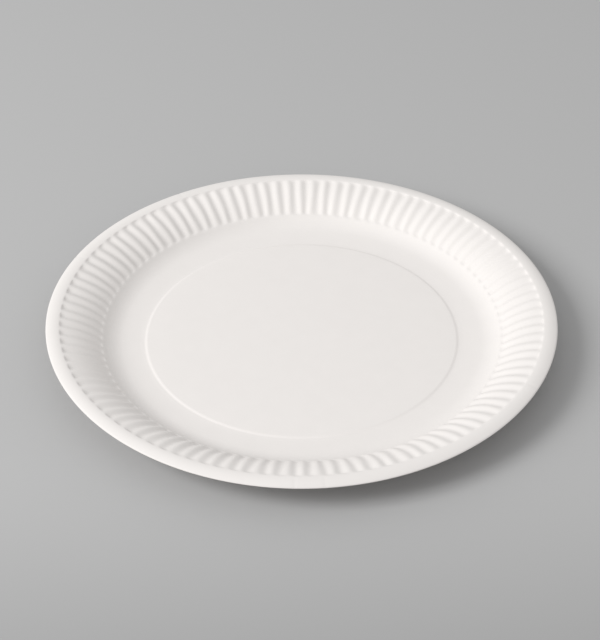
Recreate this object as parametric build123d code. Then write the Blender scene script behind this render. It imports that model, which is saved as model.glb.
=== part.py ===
"""A round pressed paper plate: one piece of thin board with a fluted wall and a smooth rolled brim.

The plate stands on the table with its axis along Z and z = 0 where it rests. Everything follows one
half section, a chain of flat stretches and tangent arcs drawn on the upper (food) side. The underside
is the same chain, one board thickness below it. Between its foot and its brim the wall is pressed into
radial flutes: their crests lie on the plain wall and their grooves sink below it.
"""
from build123d import *
from math import atan, comb, cos, degrees, pi, radians, sin
import os

import numpy as np

# Driving dimensions, in millimetres and degrees
rim_diameter = 230.0      # over the outer edge of the brim
board_thickness = 0.5     # thickness of the paper board
disc_diameter = 142.0     # the flat disc in the middle, to the middle of the step round it
disc_lift = 0.4           # how far the step raises that disc
step_width = 1.2          # radial width of the step
rest_width = 2.0          # flat ring outside the step, which the plate stands on
floor_width = 7.5         # gently rising ring between the rest ring and the foot of the wall
floor_slope = 6.5         # slope that the floor has reached at the foot
foot_width = 9.0          # hollow bend that turns the floor up into the wall
wall_slope = 42.5         # steepest slope, where the foot meets the fluted wall
brim_width = 6.2          # plain brim, from the outer ends of the flutes to the edge
brim_slope = 12.0         # slope of the wall where it meets the brim
brim_radius = 12.0        # roll of the brim, over its crown and down to the edge
flute_count = 108         # flutes round the wall
flute_depth_foot = 0.6    # depth of a groove at the foot of the wall
flute_depth_brim = 0.85   # depth of a groove at the brim
flute_end_power = 16      # how abruptly a groove starts and stops: higher is more abrupt

# Fineness of the freeform flute faces
around_degree = 8         # polynomial degree across one flute
along_degree = 20         # polynomial degree along one flute

rim_radius = rim_diameter / 2
flute_pitch = 360.0 / flute_count


class Arc:
    """An arc of the half section: it starts at (r, z) with one slope and ends with another."""

    def __init__(self, r, z, start_slope, end_slope, width):
        self.r, self.z = r, z
        self.start, self.end = radians(start_slope), radians(end_slope)
        self.radius = width / (sin(self.end) - sin(self.start))

    def point(self, share, sink=0.0):
        """Point a share of the way round the arc, sunk below the upper side along its normal."""
        slope = self.start + (self.end - self.start) * share
        r = self.r + self.radius * (np.sin(slope) - np.sin(self.start))
        z = self.z + self.radius * (np.cos(self.start) - np.cos(slope))
        return r + sink * np.sin(slope), z - sink * np.cos(slope)

    def face(self, sink):
        """Ring swept by the arc about the plate's axis."""
        points = [Vector(r, 0, z) for r, z in (self.point(share, sink) for share in (0, 0.5, 1))]
        return Face.revolve(Edge.make_three_point_arc(*points), 360, Axis.Z)


def half_section():
    """The arcs of the upper side, from the middle outwards, each tangent to its neighbours."""
    step_slope = degrees(2 * atan(disc_lift / step_width))
    stretches = [
        ("step_crest", -step_slope, step_width / 2),
        ("step_base", 0.0, step_width / 2),
        ("rest", None, rest_width),
        ("floor", floor_slope, floor_width),
        ("foot", wall_slope, foot_width),
        ("wall", brim_slope, None),
        ("brim", None, brim_width),
    ]
    inner_radius = (disc_diameter - step_width) / 2
    r, z, slope = inner_radius, board_thickness + disc_lift, 0.0
    arcs = {}
    for name, end_slope, width in stretches:
        if name == "rest":
            r += width
            continue
        if name == "wall":
            width = rim_radius - brim_width - r
        if name == "brim":
            end_slope = degrees(np.arcsin(sin(radians(slope)) - brim_width / brim_radius))
        arcs[name] = Arc(r, z, slope, end_slope, width)
        r, z = arcs[name].point(1)
        slope = end_slope
    return arcs


def flat_ring(outer_radius, height, inner_radius=None):
    """Flat face about the axis: a disc, or a ring when it has an inner radius."""
    plane = Plane.XY.offset(height)
    holes = [Wire.make_circle(inner_radius, plane)] if inner_radius else []
    return Face(Wire.make_circle(outer_radius, plane), holes)


def bernstein(degree):
    """Sample places from 0 to 1, and the Bernstein polynomials of that degree there, one a column."""
    places = (1 - np.cos(pi * np.arange(degree + 1) / degree)) / 2
    columns = [comb(degree, k) * places**k * (1 - places) ** (degree - k) for k in range(degree + 1)]
    return places, np.array(columns).T


def flute_face(wall, sink):
    """One flute of the wall, one pitch wide, as a Bezier face through the formula surface.

    Across the flute the groove is a raised cosine. Along it the groove keeps its depth and runs out at
    both ends as 1 - t^power, with t from -1 to 1.
    """
    across, across_basis = bernstein(around_degree)
    along, along_basis = bernstein(along_degree)
    share, turn = np.meshgrid(along, across, indexing="ij")
    depth = flute_depth_foot + (flute_depth_brim - flute_depth_foot) * share
    run_out = 1 - (2 * share - 1) ** flute_end_power
    groove = depth * run_out * (1 - np.cos(2 * pi * turn)) / 2
    r, z = wall.point(share, sink + groove)
    angle = np.radians(flute_pitch) * turn
    samples = np.stack([r * np.cos(angle), r * np.sin(angle), z], axis=-1)
    poles = np.einsum("ai,bj,ijk->abk", np.linalg.inv(along_basis), np.linalg.inv(across_basis), samples)
    return Face.make_bezier_surface([[tuple(pole) for pole in row] for row in poles])


def side(arcs, sink):
    """All the faces of one side of the board, sunk below the upper side by its thickness or by 0."""
    disc_height = arcs["step_crest"].z - sink
    rest_inner, rest_height = arcs["step_base"].point(1, sink)
    faces = [
        flat_ring(arcs["step_crest"].r, disc_height),
        flat_ring(rest_inner + rest_width, rest_height, rest_inner),
    ]
    faces += [arc.face(sink) for name, arc in arcs.items() if name != "wall"]
    flute = flute_face(arcs["wall"], sink)
    faces += [flute.rotate(Axis.Z, k * flute_pitch) for k in range(flute_count)]
    return faces


def plate():
    """The whole plate: both sides of the board, closed by the cut edge round the brim."""
    arcs = half_section()
    ends = [Vector(r, 0, z) for r, z in (arcs["brim"].point(1, sink) for sink in (0.0, board_thickness))]
    cut_edge = Face.revolve(Edge.make_line(*ends), 360, Axis.Z)
    faces = side(arcs, 0.0) + side(arcs, board_thickness) + [cut_edge]
    return Solid(Shell(faces))


if __name__ == "__main__":
    os.makedirs("parts", exist_ok=True)
    export_step(plate(), "parts/plate.step")
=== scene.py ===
"""A round pressed paper plate on a plain grey table, under one large soft lamp.

Sizes are in millimetres and degrees, and MM turns them into Blender's metres where a mesh, a lamp or
the camera is made. The plate stands at the origin with its axis along Z and its underside at z = 0.
"""
from math import atan, cos, degrees, pi, radians, sin

import bpy
import numpy as np
from mathutils import Matrix, Vector


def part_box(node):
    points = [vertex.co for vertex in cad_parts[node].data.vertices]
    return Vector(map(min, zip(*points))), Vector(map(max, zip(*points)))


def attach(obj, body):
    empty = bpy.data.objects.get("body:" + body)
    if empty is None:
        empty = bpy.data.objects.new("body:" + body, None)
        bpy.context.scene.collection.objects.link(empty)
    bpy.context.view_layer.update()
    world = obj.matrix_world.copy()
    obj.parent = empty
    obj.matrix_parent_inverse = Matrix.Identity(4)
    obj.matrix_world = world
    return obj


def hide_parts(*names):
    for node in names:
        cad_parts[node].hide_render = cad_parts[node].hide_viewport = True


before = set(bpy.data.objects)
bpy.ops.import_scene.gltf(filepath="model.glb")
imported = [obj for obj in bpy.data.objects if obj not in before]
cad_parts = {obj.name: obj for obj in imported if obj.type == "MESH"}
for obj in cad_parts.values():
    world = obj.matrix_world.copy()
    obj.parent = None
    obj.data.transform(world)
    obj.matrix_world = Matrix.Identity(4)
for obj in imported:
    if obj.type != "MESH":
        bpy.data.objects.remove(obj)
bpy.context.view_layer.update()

MM = 0.001

# The board and its half section, from the middle outwards
RIM_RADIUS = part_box("plate")[1].x / MM
BOARD = 0.5                # thickness of the paper board
DISC_RADIUS = 71.0         # raised disc, to the middle of the step round it
DISC_LIFT = 0.33           # height of that step
STEP_WIDTH = 2.0           # radial width of the step
REST_WIDTH = 2.0           # ring just outside the step, which the plate stands on
FLOOR_WIDTH = 7.5          # gently rising floor
FLOOR_START = 3.5          # slope of the floor where it starts
FLOOR_SLOPE = 6.5          # slope of the floor at the foot of the wall
FOOT_WIDTH = 9.0           # hollow bend from the floor into the wall
WALL_SLOPE = 42.5          # slope of the wall at its foot, where it is steepest
BRIM_WIDTH = 6.2           # plain brim outside the flutes
BRIM_SLOPE = 12.0          # slope at the top of the wall, where the brim starts
BRIM_RADIUS = 10.5         # roll of the brim
EDGE_ROUND = 0.08          # rounding of the die-cut edge
EDGE_PLACES = 0.12, 0.5, 0.88  # where the edge's rows lie, as shares of the board's thickness

# The flutes
FLUTES = 108
FLUTE_DEPTH_FOOT = 0.5     # depth of a groove at the foot of the wall
FLUTE_DEPTH_BRIM = 0.69    # depth of a groove at the brim
FLUTE_END_POWER = 16       # how abruptly a groove starts and stops
FLUTE_WANDER = 0.035       # sideways drift of the crests, in pitches
FLUTE_UNEVEN = 0.06        # share by which the depth drifts from flute to flute
FLUTE_BIAS = 0.13          # share by which the grooves are deeper at +Y and shallower at -Y

# The mesh: steps round the plate, and rows on the disc, crest and base of the step, floor, foot, wall
# and brim of each side
COLUMNS = FLUTES * 10
UPPER_ROWS = 6, 4, 4, 3, 8, 18, 9
UNDER_ROWS = 3, 2, 2, 2, 5, 14, 5
WALL_STATIONS = 200        # stations of the wall's arc that its rows are picked from

# Creases in the brim
PLAIN_CREASES = 268.3, 274.5, 122.0, 331.0, 158.0  # where the plain ones are, from +X
FAINT_CREASES = 34         # how many faint ones there are

# The camera, which looks from -Y
CAMERA_ELEVATION = 37.67
CAMERA_ROLL = -0.41
CAMERA_DISTANCE = 6.5      # in rim radii
CAMERA_LENS = 92.52        # for a frame 36 mm wide
CAMERA_TARGET = -0.72, 0, 8.76

TABLE_HALF = 3.0           # half of the table top's side, in metres


# ---------------------------------------------------------------- half section

def arc(start, end_slope, width, rows):
    """Stations along one tangent arc of the half section: radius, height and slope, one row each.

    An arc of radius p that leaves (r, z) at slope a is at r + p (sin b - sin a), z + p (cos a - cos b)
    where its slope is b, and p follows from the width that the arc has to cover.
    """
    r, z, slope = start
    end = radians(end_slope)
    p = width / (sin(end) - sin(slope))
    b = slope + (end - slope) * np.arange(1, rows + 1) / rows
    return np.column_stack([r + p * (np.sin(b) - sin(slope)), z + p * (cos(slope) - np.cos(b)), b])


def half_section(rows):
    """Stations of the upper side from near the axis to the edge, and where on the wall each one is.

    Columns are radius, height, slope and wall share, which runs from 0 at the foot to 1 at the brim
    and is 0 before the wall and 1 after it, where the grooves have run out.
    """
    step_slope = -2 * degrees(atan(DISC_LIFT / STEP_WIDTH))
    disc_edge = DISC_RADIUS - STEP_WIDTH / 2
    wall_width = RIM_RADIUS - BRIM_WIDTH - FOOT_WIDTH - FLOOR_WIDTH - REST_WIDTH - STEP_WIDTH - disc_edge
    brim_end = np.degrees(np.arcsin(sin(radians(BRIM_SLOPE)) - BRIM_WIDTH / BRIM_RADIUS))
    disc_rows, crest_rows, base_rows, floor_rows, foot_rows, wall_rows, brim_rows = rows

    radii = disc_edge * np.arange(1, disc_rows + 1) / disc_rows
    disc = np.column_stack([radii, np.full(disc_rows, BOARD + DISC_LIFT), np.zeros(disc_rows)])
    crest = arc(disc[-1], step_slope, STEP_WIDTH / 2, crest_rows)
    base = arc(crest[-1], 0.0, STEP_WIDTH / 2, base_rows)
    rest = arc(base[-1], FLOOR_START, REST_WIDTH, 1)
    floor = arc(rest[-1], FLOOR_SLOPE, FLOOR_WIDTH, floor_rows)
    foot = arc(floor[-1], WALL_SLOPE, FOOT_WIDTH, foot_rows)
    dense = arc(foot[-1], BRIM_SLOPE, wall_width, WALL_STATIONS)
    share = (1 - np.cos(pi * np.arange(1, wall_rows + 1) / wall_rows)) / 2
    places = np.arange(1, WALL_STATIONS + 1) / WALL_STATIONS
    wall = np.column_stack([np.interp(share, places, column) for column in dense.T])
    brim = arc(wall[-1], brim_end, BRIM_WIDTH, brim_rows)

    stations = np.vstack([disc, crest, base, rest, floor, foot, wall, brim])
    before = len(stations) - len(wall) - len(brim)
    shares = np.concatenate([np.zeros(before), share, np.ones(len(brim))])
    return np.column_stack([stations, shares])


# ---------------------------------------------------------------- surface of the board

def wobble(angle, share, waves, seed):
    """A gentle uneven drift about zero, as a sum of sine waves that run round and along the wall.

    Each wave has a whole number of turns round the plate, so the drift closes on itself.
    """
    rng = np.random.default_rng(seed)
    turns = rng.integers(5, 60, waves)
    along = rng.uniform(-7, 7, waves)
    phase = rng.uniform(0, 2 * pi, waves)
    drift = sum(np.sin(n * angle + k * share + p) for n, k, p in zip(turns, along, phase))
    return drift / np.sqrt(waves)


def groove(angle, share):
    """Depth of the pressed grooves: a raised cosine across each flute, that runs out as 1 - t^power.

    t goes from -1 to 1 along the wall. The crests wander a little, and the depth is a little uneven.
    """
    depth = FLUTE_DEPTH_FOOT + (FLUTE_DEPTH_BRIM - FLUTE_DEPTH_FOOT) * share
    run_out = 1 - (2 * share - 1) ** FLUTE_END_POWER
    pitches = FLUTES * angle / (2 * pi) + FLUTE_WANDER * wobble(angle, share, 9, seed=4)
    uneven = 1 + FLUTE_UNEVEN * wobble(angle, share, 7, seed=11) + FLUTE_BIAS * np.sin(angle)
    return depth * run_out * uneven * (1 - np.cos(2 * pi * pitches)) / 2


def rim_lift(angle, radius):
    """How far the plate has sprung out of true: two and three waves round the rim and a slight lean.

    It is nothing up to the rest ring and grows as the square of the distance beyond it. On the whole
    the rim has settled by half a millimetre.
    """
    start = DISC_RADIUS + STEP_WIDTH + REST_WIDTH
    reach = np.clip((radius - start) / (RIM_RADIUS - start), 0, None) ** 2
    waves = 0.45 * np.cos(2 * angle) - 0.22 * np.sin(3 * angle) - 0.38 * np.cos(angle) - 0.5
    return reach * waves


def brim_creases(angle, radius):
    """Fine radial creases where the board was gathered at the brim, as narrow dents of bell section.

    A few are plain to see, and more are faint. All of them fade in across the brim.
    """
    rng = np.random.default_rng(23)
    plain = len(PLAIN_CREASES)
    places = np.concatenate([np.radians(PLAIN_CREASES), rng.uniform(0, 2 * pi, FAINT_CREASES)])
    depths = np.concatenate([np.full(plain, 0.09), rng.uniform(-0.03, 0.035, FAINT_CREASES)])
    widths = np.concatenate([np.full(plain, 0.55), rng.uniform(0.5, 1.1, FAINT_CREASES)])
    fade = np.clip((radius - (RIM_RADIUS - BRIM_WIDTH)) / BRIM_WIDTH * 2.5, 0, 1)
    dents = np.zeros_like(angle)
    for place, depth, width in zip(places, depths, widths):
        across = (np.mod(angle - place + pi, 2 * pi) - pi) * RIM_RADIUS
        dents += depth * np.exp(-((across / width) ** 2))
    return dents * fade


def board_side(row_counts, below):
    """Points of one side of the board, a row for each station and a column for each step round it.

    Each point of the section is sunk along the section's normal by the groove, the creases and, on the
    underside, the board's thickness, and then turned about the axis and lifted with the sprung rim.
    """
    stations = half_section(row_counts)
    angle, _ = np.meshgrid(2 * pi * np.arange(COLUMNS) / COLUMNS, stations[:, 0])
    radius, height, slope, share = (column[:, None] for column in stations.T)
    sink = groove(angle, share) + brim_creases(angle, radius) + below
    r = radius + sink * np.sin(slope)
    z = height - sink * np.cos(slope) + rim_lift(angle, radius)
    return np.stack([r * np.cos(angle), r * np.sin(angle), z], axis=-1)


def rounded_edge(upper, lower):
    """Rows that carry the cut edge from the upper side to the lower one, with both corners eased.

    Each row leans outwards along the board by the rounding, times the sine of its place on the edge.
    """
    outward = upper[-1] - upper[-2]
    outward /= np.linalg.norm(outward, axis=-1, keepdims=True)
    places = np.array(EDGE_PLACES)[:, None, None]
    rows = upper[-1] + (lower[-1] - upper[-1]) * places
    return rows + EDGE_ROUND * np.sin(pi * places) ** 0.5 * outward


def closed_skin(rows, first, last):
    """Vertices and faces of a skin through rows of points that close round the axis and at two poles."""
    count, columns = rows.shape[:2]
    vertices = np.vstack([rows.reshape(-1, 3), first, last])
    index = np.arange(count * columns).reshape(count, columns)
    turned = np.roll(index, -1, axis=1)
    quads = np.stack([index[:-1], index[1:], turned[1:], turned[:-1]], axis=-1).reshape(-1, 4)
    poles = len(vertices) - 2, len(vertices) - 1
    first_fan = np.column_stack([np.full(columns, poles[0]), index[0], turned[0]])
    last_fan = np.column_stack([np.full(columns, poles[1]), turned[-1], index[-1]])
    return vertices, quads.tolist() + first_fan.tolist() + last_fan.tolist()


def make_plate():
    """The board as one closed skin: upper side outwards, cut edge, and underside back to the axis."""
    upper = board_side(UPPER_ROWS, below=0.0)
    lower = board_side(UNDER_ROWS, below=BOARD)
    rows = np.concatenate([upper, rounded_edge(upper, lower), lower[::-1]])
    top_pole = [0, 0, BOARD + DISC_LIFT]
    under_pole = [0, 0, DISC_LIFT]
    vertices, faces = closed_skin(rows, top_pole, under_pole)
    return new_object("pressed_board", vertices * MM, faces)


def new_object(name, vertices, faces):
    """A smooth-shaded mesh object at the origin, from points in metres."""
    mesh = bpy.data.meshes.new(name)
    mesh.from_pydata(vertices.tolist(), [], faces)
    mesh.shade_smooth()
    piece = bpy.data.objects.new(name, mesh)
    bpy.context.scene.collection.objects.link(piece)
    return piece


# ---------------------------------------------------------------- finishes

def colour(code):
    """Linear colour of an sRGB hex code."""
    values = np.array([int(code[k:k + 2], 16) for k in (1, 3, 5)]) / 255
    linear = np.where(values <= 0.04045, values / 12.92, ((values + 0.055) / 1.055) ** 2.4)
    return (*linear.tolist(), 1.0)


def add(material, kind, settings=None, **links):
    """A node of the material, with its properties set and its inputs linked or given a value.

    An input is named, with _ for a space, or numbered after a _ where two inputs share a name.
    """
    node = material.node_tree.nodes.new(kind)
    for name, value in (settings or {}).items():
        setattr(node, name, value)
    for name, value in links.items():
        socket = node.inputs[int(name[1:])] if name[0] == "_" else node.inputs[name.replace("_", " ")]
        if isinstance(value, bpy.types.NodeSocket):
            material.node_tree.links.new(value, socket)
        else:
            socket.default_value = value
    return node


def new_material(name):
    """An empty node material and its output node."""
    material = bpy.data.materials.new(name)
    material.use_nodes = True
    material.node_tree.nodes.clear()
    return material, material.node_tree.nodes.new("ShaderNodeOutputMaterial")


def per_metre(size_mm):
    """Texture scale that gives features of about this size."""
    return 1 / (size_mm * MM)


def paper_board():
    """Bleached paper board, uncoated and pressed: warm white, matt, with a soft sheen on the crests.

    Its pulp is a little uneven, which gives faint clouds about 9 mm across, and its surface has the
    tooth of matted fibres. Real fibres are 0.03 mm thick, so the tooth is drawn at 0.35 mm to show.
    """
    material, output = new_material("bleached_paper_board")
    place = add(material, "ShaderNodeTexCoord").outputs["Object"]
    clouds = add(material, "ShaderNodeTexNoise", Vector=place, Scale=per_metre(9), Detail=3.0)
    pulp = add(material, "ShaderNodeMix", {"data_type": "RGBA"}, _0=clouds.outputs["Fac"],
               _6=colour("#EBE7E4"), _7=colour("#EEEAE7"))
    tooth = add(material, "ShaderNodeTexNoise", Vector=place, Scale=per_metre(0.35), Detail=4.0,
                Roughness=0.6)
    relief = add(material, "ShaderNodeBump", Strength=0.12, Distance=0.03 * MM,
                 Height=tooth.outputs["Fac"])
    shader = add(material, "ShaderNodeBsdfPrincipled", Base_Color=pulp.outputs[2], Roughness=0.62, IOR=1.45,
                 Specular_IOR_Level=0.35, Normal=relief.outputs["Normal"])
    material.node_tree.links.new(shader.outputs["BSDF"], output.inputs["Surface"])
    return material


def table_paint_and_painted_shade():
    """Matt neutral grey of a studio table top, with painted shade that darkens it towards the front."""
    material, output = new_material("matt_grey_table_and_painted_shade")
    place = add(material, "ShaderNodeTexCoord")
    split = add(material, "ShaderNodeSeparateXYZ", Vector=place.outputs["Object"])
    # painted shade: the grey darkens from #BABABA to #A0A0A0 between y = -0.08 m and -0.26 m, towards the
    # front
    drift = add(material, "ShaderNodeMapRange", {"interpolation_type": "SMOOTHSTEP"},
                Value=split.outputs["Y"], From_Min=-0.26, From_Max=-0.08)
    grey = add(material, "ShaderNodeMix", {"data_type": "RGBA"}, _0=drift.outputs["Result"],
               _6=colour("#A0A0A0"), _7=colour("#BABABA"))
    shader = add(material, "ShaderNodeBsdfPrincipled", Base_Color=grey.outputs[2], Roughness=0.9,
                 Specular_IOR_Level=0.1)
    material.node_tree.links.new(shader.outputs["BSDF"], output.inputs["Surface"])
    return material


# ---------------------------------------------------------------- studio

def make_table():
    """A flat table top under the plate, far larger than the view."""
    corners = np.array([[-1, -1, 0], [1, -1, 0], [1, 1, 0], [-1, 1, 0]]) * TABLE_HALF
    table = new_object("table_top", corners, [[0, 1, 2, 3]])
    table.data.materials.append(table_paint_and_painted_shade())


def on_sphere(azimuth, elevation, distance):
    """A place at that distance, seen from the plate, with azimuth from +X and elevation from the table."""
    a, e = radians(azimuth), radians(elevation)
    return Vector((cos(a) * cos(e), sin(a) * cos(e), sin(e))) * distance


def make_lamp(name, azimuth, elevation, distance, size, power):
    """A square area lamp aimed at the plate, with its size and distance in metres."""
    data = bpy.data.lights.new(name, "AREA")
    data.size = size
    data.energy = power
    lamp = bpy.data.objects.new(name, data)
    lamp.location = on_sphere(azimuth, elevation, distance)
    lamp.rotation_mode = "QUATERNION"
    lamp.rotation_quaternion = (-lamp.location).to_track_quat("-Z", "Y")
    bpy.context.scene.collection.objects.link(lamp)


def make_surroundings(strength):
    """Even white light from a pale room."""
    world = bpy.data.worlds.new("pale_room")
    world.use_nodes = True
    background = world.node_tree.nodes["Background"]
    background.inputs["Color"].default_value = (1, 1, 1, 1)
    background.inputs["Strength"].default_value = strength
    bpy.context.scene.world = world


def make_camera():
    """A long lens that looks down on the plate from the front, turned very slightly anticlockwise."""
    elevation = radians(CAMERA_ELEVATION)
    distance = CAMERA_DISTANCE * RIM_RADIUS * MM
    target = Vector(CAMERA_TARGET) * MM
    away = Vector((0, -cos(elevation), sin(elevation)))
    right = Vector((1, 0, 0))
    up = right.cross(-away)
    upright = Matrix((right, up, away)).transposed().to_4x4()
    data = bpy.data.cameras.new("camera")
    data.sensor_width = 36
    data.lens = CAMERA_LENS
    camera = bpy.data.objects.new("camera", data)
    roll = Matrix.Rotation(radians(CAMERA_ROLL), 4, "Z")
    camera.matrix_world = Matrix.Translation(target + away * distance) @ upright @ roll
    bpy.context.scene.collection.objects.link(camera)
    bpy.context.scene.camera = camera


def make_studio():
    """Table, lamp, room light and camera."""
    make_table()
    make_surroundings(0.595)
    make_lamp("softbox", azimuth=200, elevation=37, distance=2.0, size=0.92, power=26.8)
    make_camera()
    bpy.context.scene.view_settings.view_transform = "Standard"


def main():
    """Builds the plate and its studio."""
    make_studio()
    plate = make_plate()
    plate.data.materials.append(paper_board())
    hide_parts("plate")
    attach(plate, "root")


main()
